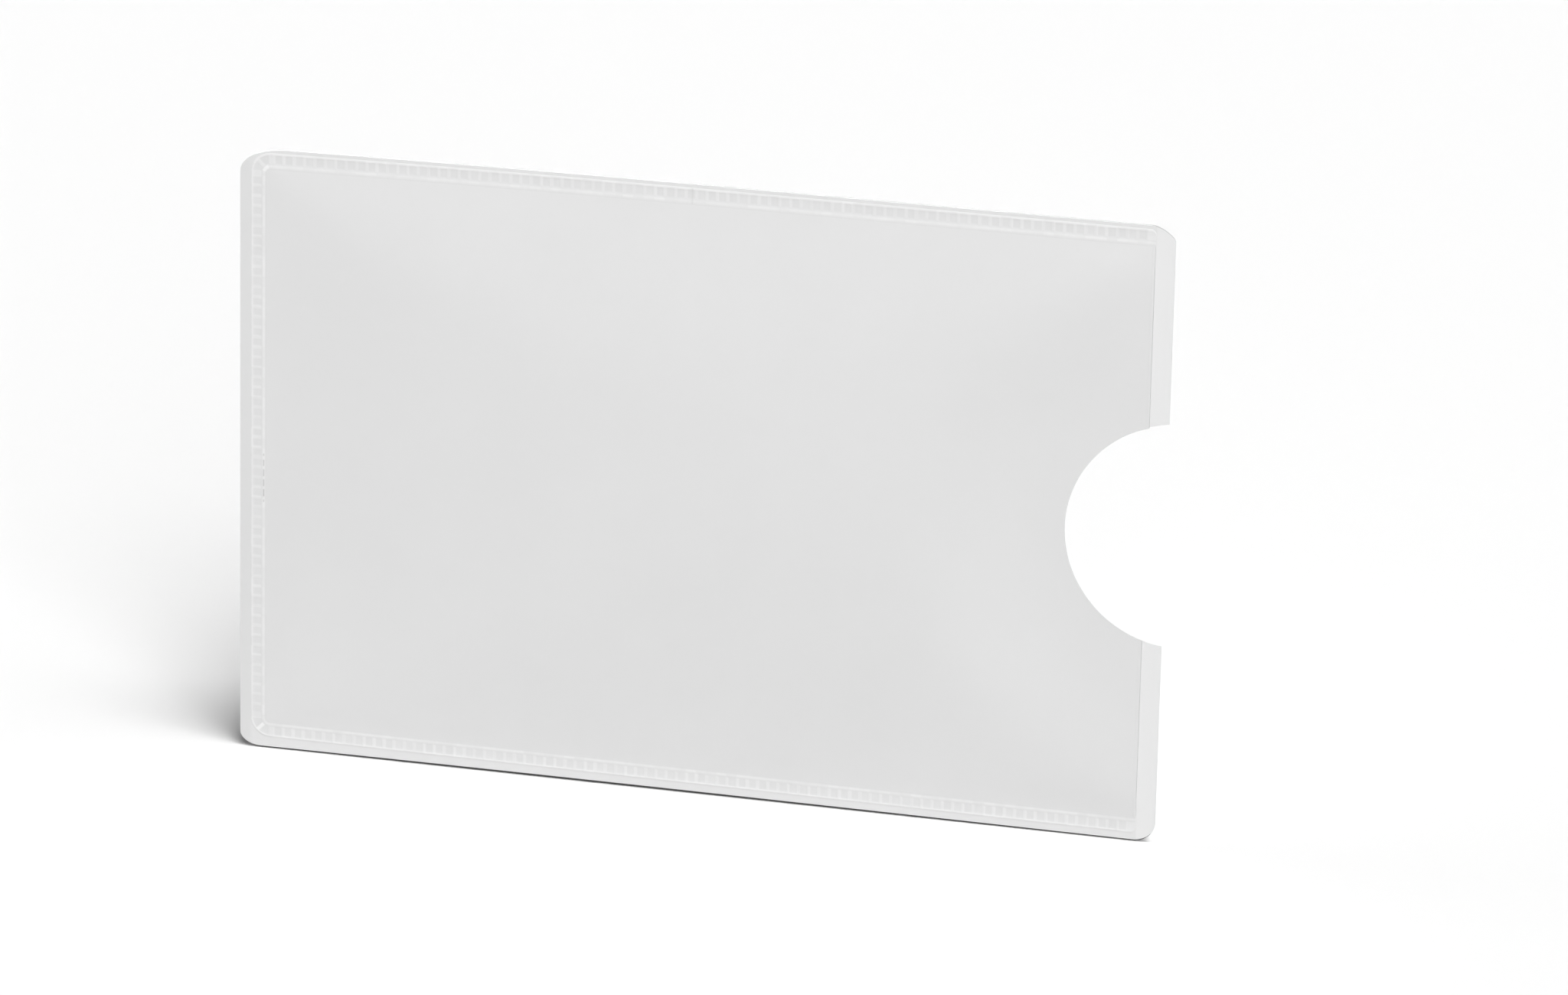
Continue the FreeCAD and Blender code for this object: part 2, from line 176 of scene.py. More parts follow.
class SleeveSizes(bpy.types.PropertyGroup):
    """Sizes of the sleeve that its node boxes don't give."""

    corner_lower_left: pair("Lower left corner", "Rear sheet's run and rise", 2.2, 1.5)
    corner_upper_left: pair("Upper left corner", "Rear sheet's run and rise", 4.4, 2.3)
    corner_lower_mouth: pair("Lower mouth corner", "Rear sheet's run and rise", 2.1, 1.9)
    corner_upper_mouth: pair("Upper mouth corner", "Rear sheet's run and rise", 2.1, 1.4)
    mouth_fullness: FloatProperty(
        name="Mouth fullness", description="Upper mouth corner: 1 is a straight cut, 2 is round",
        default=1.4, min=1.0, max=4.0)
    panel_corner: length("Panel corner", "Corner radius of the front panel, foils and liners", 0.3)
    panel_foot: length("Panel foot", "Front panel over the rear sheet along the weld", 0.04)
    panel_pinch: length("Panel pinch", "Gap for the foils under the panel along the weld", 0.03)
    panel_flank: share("Panel flank", "How early the panel bends; less gives straighter flanks", 0.5)
    panel_crown: share("Panel crown", "Where along the length the panel stands highest", 0.55)
    notch_lie: length("Notch lie", "Way round the notch where the panel lies down", 16.0)
    mouth_lift: length("Mouth lift", "How far the panel's mouth edge stands off", 0.1)
    mouth_reach: length("Mouth reach", "Way in from the mouth to where that ends", 12.0)
    foil_gauge: length("Foil gauge", "Thickness of each foil and slip film", 0.005)
    left_taper: length("Left taper", "Thinning of the rear sheet towards its left edge", 0.17)
    lip_taper: length("Lip taper", "Thinning of the rear sheet's lip towards its edge", 0.17)
    top_droop: length("Top droop", "Hang of the sleeve's upper left corner", 0.36)
    left_offset: length("Left offset", "Pocket's left end, to the left of its place", 0.2)
    foot_offset: length("Foot offset", "Pocket's foot at the mouth, below its place", 0.35)
    mouth_offset: length("Mouth offset", "Pocket's mouth, to the left of its place", 0.13)
    offset_reach: length("Offset reach", "Way in from the weld over which its offset fades", 15.0)
    mouth_fade: length("Mouth fade", "Way in from the mouth over which its offset fades", 6.0)
    edge_bow: length("Edge bow", "Bow of the front of the sheet's foot between its corners", 0.1)
    foot_bevel: length("Foot bevel", "Cut of the front of the sheet's foot above its back", 0.16)
    edge_round: length("Edge rounding", "Rounding of the front panel's mouth edge", 0.06)
    edge_bead: length("Edge bead", "Height of the bead along that edge", 0.014)
    edge_bead_half: length("Edge bead half width", "Half the width of that bead", 0.18)
    notch_radius: length("Notch radius", "Radius of the thumb notch", 10.75)
    notch_flare: length("Notch flare", "Widening of the notch from front to back", 0.15)
    notch_outset: length("Notch outset", "Notch centre outside the rear sheet's edge", 1.25)
    notch_drop: length("Notch drop", "Notch centre below the middle of the front panel", 0.15)
    weld_width: length("Weld width", "Width of the fused band with the ladder", 1.3)
    weld_height: length("Weld height", "Height of that band over the rear sheet", 0.02)
    weld_end: length("Weld end radius", "Rounding of the weld's outer corner at the mouth", 0.5)
    weld_round: length("Weld rounding", "Rounding of the weld's outer edge", 0.015)
    shoulder_run: length("Shoulder run", "Run of the shoulder from band to panel", 0.2)
    shoulder_wall: length("Shoulder wall", "Flat top of the shoulder beside the panel", 0.15)
    outer_line: length("Outer line", "Width of the bead outside the ladder cells", 0.2)
    inner_line: length("Inner line", "Width of the bead inside the ladder cells", 0.25)
    bead_height: length("Bead height", "Height of both beads over the band", 0.012)
    cell_pitch: length("Cell pitch", "From one ladder cell to the next", 1.0)
    rib_width: length("Rib width", "Width of the rib between two ladder cells", 0.32)
    cell_depth: length("Cell depth", "Depth of a ladder cell", 0.009)
    cell_slope: length("Cell slope", "Width of the slope round each ladder cell", 0.14)
    corner_cells: IntProperty(
        name="Corner cells", description="Ladder cells round each corner", default=2, min=1, max=6)
    tool_joint: FloatProperty(
        name="Tool joint", description="Place along the top where two strokes of the weld meet",
        default=-0.85 * MM, precision=6, unit="LENGTH")
    # Between these heights the left weld's inner bead has dark dashes between its ribs
    dashes_low: length("Scuff foot", "Where the rubbed dashes on the left weld start", 24.9)
    dashes_high: length("Scuff head", "Where those dashes end", 29.9)
    film_gap: length("Film gap", "Air between layers that lie on each other", 0.003)


class SleeveColours(bpy.types.PropertyGroup):
    """Colours and clearness of the sleeve's materials."""

    rear_film: colour("Rear film", "Frosted film of the rear sheet", 0.787)
    # Painted light: the lip paler than the rear film, for light from behind showing through it
    lip_backlit_film: colour("Lip film", "Rear film at the lip, which looks paler", 0.825)
    front_film: colour("Front film", "Frosted film over the foil", 0.79)
    weld: colour("Weld", "Fused film of the band", 0.82)
    # Also the colour of the weld's painted highlights at its corners and on top
    whitened: colour("Whitened film", "Film stretched white by the weld", 0.92)
    # Also the colour of the painted shade along the shoulder's top
    pressed: colour("Pressed film", "Film pressed clear by the weld", 0.58)
    # Painted shade: near black under the rear sheet's foot, for the dark line under the sheet, and darker along
    # its top edge too
    cut_edge: colour("Cut edge", "Rear film seen at its cut edge", 0.06)
    # Painted shade: the front panel's mouth edge made dark, standing in for the shadow of the gap beneath it
    mouth_edge_shade: colour("Mouth edge", "Front film seen at its cut edge", 0.2)
    shield_foil: colour("Shield foil", "Dull rolled foil", 0.72, 0.73, 0.74)
    liner_film: colour("Liner film", "Clear slip film", 0.84, 0.84, 0.85)
    rear_opacity: share("Rear opacity", "Opacity of the rear sheet", 0.96)
    front_opacity: share("Front opacity", "Opacity of the front panel", 0.93)
    weld_opacity: share("Weld opacity", "Opacity of the fused band", 0.9)
    liner_opacity: share("Liner opacity", "Opacity of the slip films", 0.6)


class SleeveStage(bpy.types.PropertyGroup):
    """Floor, light and camera of the studio."""

    floor: colour("Floor", "Pale floor as the camera sees it", 0.815)
    floor_bounce: colour("Floor bounce", "Pale floor as it lights the sleeve", 0.3215)
    sky: strength("Sky", "Even light from all sides", 0.01)
    mouth_light: strength("Mouth light", "High light from beside the mouth, on the floor alone", 1.461)
    low_light: strength("Low light", "Low light from the front, on the floor alone", 0.99)
    side_light: strength("Side light", "Wide light from the mouth side", 0.716)
    top_light: strength("Top light", "High light from the front", 0.603)
    corner_light: strength("Corner light", "Light from the mouth's front corner, half way up", 1.057)
    front_light: strength("Front light", "Low light from the front, on the sleeve alone", 1.83)
    back_light: strength("Back light", "Low light from behind, on the sleeve alone", 2.0)
    azimuth: angle("Azimuth", "Camera's turn towards the mouth", 14.184)
    elevation: angle("Elevation", "Camera's height as an angle", 17.80)
    roll: angle("Roll", "Camera's turn about its own axis", 1.222)
    distance: length("Distance", "From the camera to its target", 766.4)
    focal_pixels: FloatProperty(
        name="Focal length", description="In pixels of the full image", default=10695.6, min=1.0)
    target: FloatVectorProperty(
        name="Target", description="Middle of the picture",
        default=(8.646 * MM, 0.0, 30.548 * MM), size=3, subtype="XYZ", unit="LENGTH", precision=6)


class SleeveSettings(bpy.types.PropertyGroup):
    """All that the panel shows."""

    sizes: PointerProperty(type=SleeveSizes)
    colours: PointerProperty(type=SleeveColours)
    stage: PointerProperty(type=SleeveStage)


def choices():
    """The sizes and the colours that the panel shows."""
    settings = bpy.context.scene.card_sleeve
    return settings.sizes, settings.colours


def operation(kind):
    """A method that adds one Math node."""
    def method(self, other=0.0):
        return self.finish.math(kind, self, other)

    return method


class Value:
    """A socket that carries one number; Python operators on it add Math nodes to its material."""

    def __init__(self, finish, socket):
        self.finish = finish
        self.socket = socket

    __add__ = __radd__ = operation("ADD")
    __mul__ = __rmul__ = operation("MULTIPLY")
    __sub__, __truediv__, __pow__ = operation("SUBTRACT"), operation("DIVIDE"), operation("POWER")
    __abs__, larger, smaller = operation("ABSOLUTE"), operation("MAXIMUM"), operation("MINIMUM")

    def __rsub__(self, other):
        return self.finish.math("SUBTRACT", other, self)

    def apart(self, pitch):
        """Distance to the nearest whole number of pitches."""
        return self.finish.math("PINGPONG", self, pitch / 2)

    def ramp(self, low, high):
        """Nought below low, one above high, and a smooth step between."""
        return self.finish.add("ShaderNodeMapRange", {"interpolation_type": "SMOOTHSTEP"}, {
            "Value": self, "From Min": low, "From Max": high})


class Finish:
    """The node tree of one material or world."""

    def __init__(self, owner):
        owner.use_nodes = True
        self.tree = owner.node_tree
        self.tree.nodes.clear()

    def add(self, kind, settings=None, inputs=None, output=0):
        """Add a node of any type: settings first, then its sockets. Returns one output."""
        node = self.tree.nodes.new(kind)
        for name, setting in (settings or {}).items():
            setattr(node, name, setting)
        for key, value in (inputs or {}).items():
            if isinstance(value, Value):
                self.tree.links.new(value.socket, node.inputs[key])
            else:
                node.inputs[key].default_value = value
        return Value(self, node.outputs[output]) if node.outputs else None

    def math(self, kind, first, second):
        return self.add("ShaderNodeMath", {"operation": kind}, {0: first, 1: second})

    def place(self):
        """Object coordinates in metres."""
        return self.add("ShaderNodeTexCoord", output="Object")

    def attribute(self, name):
        """A number that the mesh carries."""
        return self.add("ShaderNodeAttribute", {"attribute_name": name}, None, "Fac")

    def axes(self, vector):
        """The three parts of a vector."""
        node = self.add("ShaderNodeSeparateXYZ", None, {0: vector}).socket.node
        return [Value(self, socket) for socket in node.outputs]

    def noise(self, vector, grain, detail=2.0, roughness=0.5):
        """Noise whose lumps are about grain metres across, from nought to one."""
        return self.add("ShaderNodeTexNoise", None, {
            "Vector": vector, "Scale": 1.0 / grain, "Detail": detail, "Roughness": roughness})

    def stretch(self, vector, scale):
        """A vector scaled along its axes."""
        return self.add("ShaderNodeMapping", None, {"Vector": vector, "Scale": scale})

    def blend(self, factor, first, second):
        """Mix of two colours."""
        paints = [paint if isinstance(paint, Value) else (*paint, 1.0) for paint in (first, second)]
        inputs = {"Factor": factor, 6: paints[0], 7: paints[1]}
        return self.add("ShaderNodeMix", {"data_type": "RGBA"}, inputs, 2)

    def bump(self, height, distance):
        """Surface normal pushed by a height from nought to one, at most distance metres."""
        return self.add("ShaderNodeBump", None, {"Height": height, "Distance": distance, "Strength": 1.0})

    def surface(self, inputs):
        """Finish the tree with one Principled surface."""
        shader = self.add("ShaderNodeBsdfPrincipled", None, inputs, "BSDF")
        self.add("ShaderNodeOutputMaterial", None, {"Surface": shader})


def new_finish(name):
    """A material and its empty tree."""
    material = bpy.data.materials.new(name)
    return material, Finish(material)


def tint(paint, factor):
    """A colour made lighter or darker by a factor."""
    return tuple(factor * part for part in paint)


def weld_trace(finish, place, film):
    """The rear film's colour, painted paler at the lip for light that shows through it from behind, and whiter
    and clearer behind the weld that has fused it.

    The way in is the distance from the weld's outer edge, round at its two corners, after the droop is
    undone. A line runs along each side of the ladder, and on its straight runs a rib crosses it at each
    whole number of pitches from the first.
    """
    sizes, colours = choices()
    low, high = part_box("weld_seam")
    sheet_low, sheet_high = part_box("rear_sheet")
    x, _, z = finish.axes(place)
    left = (x / sheet_low.x).larger(0.0)
    z = z + left * left * z * (sizes.top_droop / sheet_high.z)
    turn_x, turn_top, turn_bottom = turn_places(sizes, low, high)
    out_x, out_z = (turn_x - x).larger(0.0), (z - turn_top).larger(turn_bottom - z).larger(0.0)
    way_in = turn_x - low.x - (out_x * out_x + out_z * out_z) ** 0.5
    straight = 1.0 - out_x.smaller(out_z).ramp(0.0, TRACE_STEP)
    behind = finish.attribute("behind")
    first_x = turn_x + run_places(high.x - sizes.weld_end - turn_x, sizes.cell_pitch)[1][0]
    first_z = turn_top - run_places(turn_top - turn_bottom, sizes.cell_pitch)[1][0]
    upright = (out_x - out_z).ramp(0.0, TRACE_STEP)
    to_rib = upright * (z - first_z).apart(sizes.cell_pitch)
    to_rib = to_rib + (1.0 - upright) * (x - first_x).apart(sizes.cell_pitch)
    rib = 1.0 - to_rib.ramp(0.3 * sizes.rib_width, 0.7 * sizes.rib_width)
    cells_end = sizes.weld_width - sizes.inner_line
    cells = way_in.ramp(0.5 * sizes.outer_line, 1.5 * sizes.outer_line)
    cells = cells - way_in.ramp(cells_end - 0.5 * sizes.inner_line, cells_end + 0.5 * sizes.inner_line)
    cells = cells * straight
    outer = 1.0 - abs(way_in - sizes.outer_line * OUTER_MIDDLE).ramp(0.0, sizes.outer_line * OUTER_HALF)
    inner = 1.0 - abs(way_in - sizes.weld_width).ramp(0.0, sizes.inner_line * INNER_TRACE)
    shown = behind * (1.0 - x.ramp(high.x - sizes.outer_line, high.x))
    # Painted light: the lip paler, for light showing through it from behind
    film = finish.blend(x.ramp(high.x - sizes.mouth_offset, high.x), film, colours.lip_backlit_film)
    pressed = finish.blend(TRACE_PRESSED * (1.0 - rib) * cells * shown, film, colours.pressed)
    white = TRACE_WHITE * (outer + inner + rib * cells) * shown
    return finish.blend(white, pressed, colours.whitened)


def film_finish(name, paint, edge_shade_paint, opacity, trace=None):
    """Frosted film: soft clouds in the colour, a fine matt grain, cut edges darkened by painted shade, and the
    weld's trace.
    """
    material, finish = new_finish(name)
    place = finish.place()
    cloud = finish.noise(place, 14 * MM, 3.0)
    grain = finish.noise(place, 0.22 * MM, 2.0, 0.6)
    clouded = finish.blend(cloud, tint(paint, 0.985), tint(paint, 1.012))
    film = trace(finish, place, clouded) if trace else clouded
    finish.surface({
        "Base Color": finish.blend(finish.attribute("cut_edge"), film, edge_shade_paint),
        "Roughness": 0.42 + 0.16 * grain + 0.06 * cloud,
        "Alpha": opacity + 0.02 * (cloud - 0.5),
        "Normal": finish.bump(grain, 0.003 * MM),
        "IOR": FILM_IOR,
    })
    return material


def weld_finish(paint, white, clear, opacity):
    """Fused film: white where the tool stretched it and at its painted highlights, clearer where it pressed,
    lightly grained.
    """
    material, finish = new_finish("weld_ladder")
    place = finish.place()
    whitened = finish.attribute("whitened")
    mottle = finish.noise(place, 0.6 * MM, 3.0, 0.6)
    grain = finish.noise(place, 0.12 * MM, 2.0, 0.6)
    fused = finish.blend(mottle, tint(paint, 0.97), tint(paint, 1.03))
    stretched = finish.blend(whitened * (0.6 + 0.8 * mottle), fused, white)
    finish.surface({
        "Base Color": finish.blend(finish.attribute("pressed"), stretched, clear),
        "Roughness": 0.30 + 0.20 * grain + 0.1 * mottle,
        "Alpha": opacity + 0.05 * whitened,
        "Normal": finish.bump(mottle + grain * 0.4, 0.006 * MM),
        "IOR": FILM_IOR,
    })
    return material


def foil_finish(paint):
    """Dull foil with fine rolling lines along its length."""
    material, finish = new_finish("shield_foil")
    place = finish.place()
    lines = finish.noise(finish.stretch(place, (0.03, 1.0, 1.0)), 0.12 * MM, 3.0, 0.6)
    cloud = finish.noise(place, 9 * MM)
    finish.surface({
        "Base Color": finish.blend(lines, tint(paint, 0.9), paint),
        "Metallic": 1.0,
        "Roughness": 0.34 + 0.16 * lines + 0.08 * cloud,
        "Normal": finish.bump(lines, 0.004 * MM),
    })
    return material


def liner_finish(paint, opacity):
    """Clear slip film with faint draw lines."""
    material, finish = new_finish("liner_film")
    place = finish.place()
    lines = finish.noise(finish.stretch(place, (0.05, 1.0, 1.0)), 0.3 * MM)
    cloud = finish.noise(place, 6 * MM)
    finish.surface({
        "Base Color": finish.blend(cloud, tint(paint, 0.96), paint),
        "Roughness": 0.22 + 0.14 * lines,
        "Alpha": opacity + 0.06 * (cloud - 0.5),
        "Normal": finish.bump(lines, 0.003 * MM),
        "IOR": FILM_IOR,
    })
    return material


def grid_faces(rows, columns, closed=False):
    """Quads of a grid numbered row by row; closed joins the last column to the first."""
    row = np.arange(rows - 1)[:, None] * columns
    column = np.arange(columns if closed else columns - 1)[None, :]
    after = (column + 1) % columns
    above = row + columns
    return np.stack([row + column, row + after, above + after, above + column], -1).reshape(-1, 4)


def new_object(name, data):
    """An object in the scene, at the origin."""
    thing = bpy.data.objects.new(name, data)
    bpy.context.scene.collection.objects.link(thing)
    return thing


def new_piece(name, points, faces, material, node, domain, values):
    """A smooth mesh object at the origin that rides on the sleeve and stands for one CAD node.

    The values are the named numbers that its faces or points carry for the material.
    """
    mesh = bpy.data.meshes.new(name)
    mesh.from_pydata(points.reshape(-1, 3), [], faces)
    mesh.materials.append(material)
    mesh.update()
    for key, numbers in values.items():
        mesh.attributes.new(key, "FLOAT", domain).data.foreach_set("value", numbers.ravel())
    mesh.shade_smooth()
    mesh.set_sharp_from_angle(angle=SHARP_ANGLE)
    piece = new_object(name, mesh)
    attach(piece, BODY)
    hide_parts(node)


def corner_pull(height, low, high, lower, upper):
    """How far two rounded corners pull an upright edge in.

    Each corner is a quarter ellipse of a run and a rise: the run less its half chord at that height. Its
    fullness is the power in the ellipse's formula, two for a true one.
    """
    pull = np.zeros_like(height)
    for (run, rise, fullness), inside in ((lower, height - low), (upper, high - height)):
        left_over = unit(1.0 - inside / rise) if rise else np.zeros_like(height)
        pull += run * (1.0 - (1.0 - left_over**fullness) ** (1.0 / fullness))
    return pull


def film_heights(low, high, foot, head, notch_z, notch_half, notch_radius):
    """Heights of a film's rows: even angles round the corners and the notch, even steps between."""
    turn = 1.0 - np.cos(np.linspace(0.0, math.pi / 2, CORNER_STEPS))
    reach = math.asin(notch_half / notch_radius)
    arc = notch_z + notch_radius * np.sin(np.linspace(-reach, reach, NOTCH_STEPS))
    below = np.linspace(low + foot, arc[0], round((notch_z - low) / FILM_ROW))
    above = np.linspace(arc[-1], high - head, round((high - notch_z) / FILM_ROW))
    return np.concatenate([low + foot * turn, below[1:], arc[1:], above[1:], (high - head * turn)[::-1][1:]])


def film_face(low, high, corners, notch_x, notch_z, notch_radius):
    """One face of a film, as a ruled surface on a grid of rows and columns.

    Each row runs at one height from the left edge to the mouth edge, in even steps between short ones.
    Both edges are straight with rounded corners. The mouth edge gives way to the notch: the notch's centre
    less the half chord of its circle at that height. Gives the points and their distance from the mouth edge.
    """
    lower_left, upper_left, lower_mouth, upper_mouth = corners
    notch_half = math.sqrt(notch_radius**2 - (notch_x - high.x) ** 2)
    foot, head = max(lower_left[1], lower_mouth[1]), max(upper_left[1], upper_mouth[1])
    z = film_heights(low.z, high.z, foot, head, notch_z, notch_half, notch_radius)
    left = low.x + corner_pull(z, low.z, high.z, lower_left, upper_left)
    right = high.x - corner_pull(z, low.z, high.z, lower_mouth, upper_mouth)
    chord = np.sqrt(np.maximum(notch_radius**2 - (z - notch_z) ** 2, 0.0))
    right = np.where(np.abs(z - notch_z) < notch_half, np.minimum(right, notch_x - chord), right)
    left, right = left[:, None], right[:, None]
    first, last = left + LEFT_STEPS[-1], right - MOUTH_STEPS[0]
    even = first + (last - first) * np.linspace(0.0, 1.0, FILM_COLUMNS)
    x = np.concatenate([left + LEFT_STEPS[:-1], even[:, :-1], right - MOUTH_STEPS], 1)
    return np.stack(np.broadcast_arrays(x, low.y, z[:, None]), -1), right - x


def slab_faces(rows, columns):
    """Quads of a closed slab: a front grid, the same grid turned round behind it, and the rim between."""
    count = rows * columns
    front = grid_faces(rows, columns)
    number = np.arange(count).reshape(rows, columns)
    loop = np.concatenate([number[0, :-1], number[:-1, -1], number[-1, :0:-1], number[:0:-1, 0]])
    after = np.roll(loop, -1)
    rim = np.stack([loop, loop + count, after + count, after], -1)
    return np.concatenate([front, front[:, ::-1] + count, rim])


def panel_corners(sizes):
    """Rounded corners at the weld and square ones at the mouth."""
    rounded = (sizes.panel_corner, sizes.panel_corner, FULL_ROUND)
    return rounded, rounded, SQUARE, SQUARE


def notch_place(sizes):
    """Centre of the thumb notch: outside the lip, and a little below the middle of the front panel."""
    panel_low, panel_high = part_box("front_panel")
    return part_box("rear_sheet")[1].x + sizes.notch_outset, (panel_low.z + panel_high.z) / 2 - sizes.notch_drop


def flared_radius(sizes, depth):
    """Radius of the notch at a CAD depth: it widens evenly from the sleeve's front to its back."""
    low, high = CAD_BOX
    return sizes.notch_radius + sizes.notch_flare * (depth - low.y) / (high.y - low.y)


def panel_lift(sizes, x, z):
    """Height of the empty front panel's face over the rear sheet.

    Along the weld it is panel_foot. From there it rises like a hipped roof to the CAD panel's face: by the
    lesser of two arches, one up the height and one along the length, which a power mean blends where they
    meet. An arch is a hyperbola with nearly straight flanks that is one in its middle and nil at its ends.
    Round the notch it comes down by a smooth step. At the mouth the edge stands off by mouth_lift, which
    fades inwards and to the weld by smooth steps.
    """
    def arch(way):
        return 1.0 - (np.sqrt(way**2 + flank**2) - flank) / (math.sqrt(1.0 + flank**2) - flank)

    low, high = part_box("front_panel")
    flank, crown = sizes.panel_flank, sizes.panel_crown
    along = (x - low.x) / (high.x - low.x)
    way = np.where(along < crown, (crown - along) / crown, (along - crown) / (1.0 - crown))
    notch_x, notch_z = notch_place(sizes)
    from_notch = np.hypot(x - notch_x, z - notch_z) - sizes.notch_radius
    upright, level = arch(2.0 * (z - low.z) / (high.z - low.z) - 1.0), arch(way)
    mean = (0.5 * (upright**HIP_SHARPNESS + level**HIP_SHARPNESS) + TINY) ** (1.0 / HIP_SHARPNESS)
    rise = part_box("rear_sheet")[0].y - low.y - sizes.panel_foot
    roof = upright * level / mean * smooth_step(from_notch, 0.0, sizes.notch_lie)
    lift = sizes.panel_foot + rise * roof
    from_weld = np.minimum(z - low.z, high.z - z)
    mouth = (1.0 - smooth_step(high.x - x, 0.0, sizes.mouth_reach)) * smooth_step(from_weld, 0.0, WELD_FADE)
    return lift + sizes.mouth_lift * mouth


def film_depths(sizes, node, x, z):
    """Front and back of a film at each of its points.

    Rear foil and slip film lie flat on the rear sheet. The front panel has its CAD thickness, or less where
    the weld pinches it, and its foil and slip film follow its back.
    """
    sheet_low, sheet_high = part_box("rear_sheet")
    panel_low, panel_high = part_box("front_panel")
    if node == "rear_sheet":
        return sheet_low.y + sizes.film_gap, sheet_high.y
    step = sizes.foil_gauge + sizes.film_gap
    if node in REAR_SHIELDS:
        back = sheet_low.y - step * REAR_SHIELDS.index(node)
        return back - sizes.foil_gauge, back
    front = sheet_low.y - panel_lift(sizes, x, z)
    back = np.minimum(front + panel_high.y - panel_low.y, sheet_low.y - sizes.panel_pinch)
    if node == "front_panel":
        return front, back
    back = back + step * (FRONT_SHIELDS.index(node) + 1)
    return back - sizes.foil_gauge, back


def film_piece(node, material, corners):
    """One film: its outline in front and behind, at the depths that its place in the stack gives."""
    sizes, _ = choices()
    low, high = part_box(node)
    sides = [film_face(low, high, corners, *notch_place(sizes), flared_radius(sizes, depth))
             for depth in (low.y, high.y)]
    points = np.stack([face for face, _ in sides])
    for side, (x, _, z) in enumerate(np.moveaxis(points, -1, 1)):
        points[side, ..., 1] = film_depths(sizes, node, x, z)[side]
    if node == "front_panel":
        round_mouth(sizes, points[0], sides[0][1])
    if node == "rear_sheet":
        taper_edges(sizes, points[0])
        raise_foot(sizes, points[0], low, high)
    else:
        settle(sizes, points)
    droop(sizes, points)
    faces = slab_faces(*points.shape[1:3])
    in_front = (faces < points[0].size // 3).sum(1)
    # Cut edges are darkened by their facing; under the rear sheet's foot this is painted shade
    shade_axis = UP if node == "rear_sheet" else TO_MOUTH
    edges = (in_front == 2) * edge_shade_shares(sizes, points.reshape(-1, 3)[faces], shade_axis)
    values = {"cut_edge": edges, "behind": 1.0 * (in_front == 0)}
    new_piece(f"{node}_film", points, faces, material, node, "FACE", values)


def edge_shade_shares(sizes, quads, shade_axis):
    """How dark each quad of a cut edge is: half where it faces shade_axis, wholly where it faces away.
    On the rear sheet's foot this is painted shade, for the dark line under the sheet.

    In between it falls with the share of its normal, and edges across and in the notch are hardly dark.
    """
    x, _, z = quads.mean(1).T
    notch_x, notch_z = notch_place(sizes)
    in_notch = np.hypot(x - notch_x, z - notch_z) < sizes.notch_radius + sizes.notch_flare
    normal = np.cross(quads[:, 2] - quads[:, 0], quads[:, 3] - quads[:, 1])
    facing = normal @ shade_axis / np.maximum(np.linalg.norm(normal, axis=1), TINY)
    shade_share = np.where(facing > 0.0, EDGE_SHADE_TOWARDS * facing, -EDGE_SHADE_AWAY * facing)
    return np.where(in_notch, EDGE_SHADE_LEAST, np.clip(shade_share, EDGE_SHADE_LEAST, 1.0))


def round_mouth(sizes, face, inside):
    """Round a mouth edge by the half chord of a circle, behind a low smooth hump, but not in the notch."""
    edge = unit(inside / sizes.edge_round)
    bead = hump(inside, sizes.edge_bead_half, sizes.edge_bead_half)
    back = sizes.edge_round * (1.0 - np.sqrt(1.0 - (1.0 - edge) ** 2)) - sizes.edge_bead * bead
    from_notch = np.abs(face[..., 2] - notch_place(sizes)[1])
    face[..., 1] += back * smooth_step(from_notch - sizes.notch_radius, -NOTCH_FADE, NOTCH_FADE)


def taper_edges(sizes, face):
    """Lean a sheet's front face back outside the weld, evenly from the weld to the left and mouth edges."""
    low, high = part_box("rear_sheet")
    weld_low, weld_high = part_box("weld_seam")
    weld_left = weld_low.x - sizes.left_offset
    left = unit((weld_left - face[..., 0]) / (weld_left - low.x))
    lip = unit((face[..., 0] - weld_high.x) / (high.x - weld_high.x))
    face[..., 1] += sizes.left_taper * left + sizes.lip_taper * lip


def settle(sizes, points):
    """Set the pocket off its place on the sheet: both ends to the left, and its foot down towards the mouth.

    Each offset fades by a smooth step from the weld's edge inwards, and that of the foot grows evenly with
    the way to the mouth.
    """
    low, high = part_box("weld_seam")
    x, z = points[..., 0], points[..., 2]
    from_left, from_foot, from_mouth = x - low.x, z - low.z, high.x - x
    x -= sizes.left_offset * (1.0 - smooth_step(from_left, 0.0, sizes.offset_reach))
    x -= sizes.mouth_offset * (1.0 - smooth_step(from_mouth, 0.0, sizes.mouth_fade))
    along = unit(from_left / (high.x - low.x))
    z -= sizes.foot_offset * along * (1.0 - smooth_step(from_foot, 0.0, sizes.offset_reach))


def droop(sizes, points):
    """Let the upper left corner hang: by the height's share times the squared share of the way left."""
    low, high = CAD_BOX
    left, z = unit(points[..., 0] / low.x), points[..., 2]
    z -= sizes.top_droop * left**2 * (z - low.z) / (high.z - low.z)


def raise_foot(sizes, face, low, high):
    """Raise the foot of the sheet's front face: by the bevel, and by a bow between its corners.

    The bow is one less the squared share of the way from the middle to a corner, leaning left. Both fade
    evenly to nought at the weld.
    """
    along = (2.0 * face[..., 0] - low.x - high.x) / (high.x - low.x)
    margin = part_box("weld_seam")[0].z - low.z
    fade = unit(1.0 - (face[..., 2] - low.z) / margin)
    face[..., 2] += (sizes.foot_bevel + sizes.edge_bow * (1.0 - along**2) * (1.0 - BOW_LEAN * along)) * fade


def smooth_step(value, low, high):
    """Nought below low, one above high, and a smooth step between."""
    t = unit((value - low) / (high - low))
    return t * t * (3.0 - 2.0 * t)


